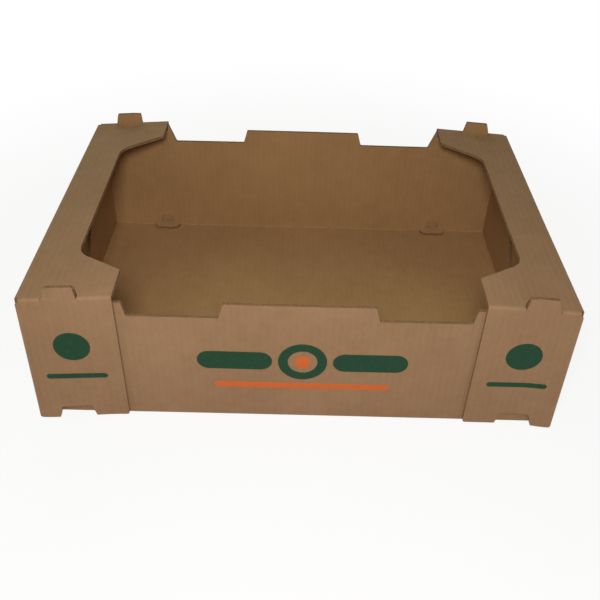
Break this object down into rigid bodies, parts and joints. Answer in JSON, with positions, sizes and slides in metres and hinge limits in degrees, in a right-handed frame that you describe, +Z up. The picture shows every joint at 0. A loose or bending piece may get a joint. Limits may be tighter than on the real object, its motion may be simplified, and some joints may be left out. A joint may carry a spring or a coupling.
{
  "type": "cardboard tray box",
  "caption": "Open folded corrugated-board produce tray with end shelves, corner flaps, stacking tabs and hand holes, printed with plain round shapes and bars.",
  "frame": {"origin": "centre of the underside, where the tray stands", "axes": "+X along the long side, +Y from the front long wall to the back one, +Z up"},
  "size_m": [0.6, 0.4158, 0.1928],
  "materials": {
    "kraft_board": "uncoated brown kraft liner, matt, with flexographic print"
  },
  "bodies": {
    "root": {"folded_tray": "kraft_board"}
  },
  "joints": []
}
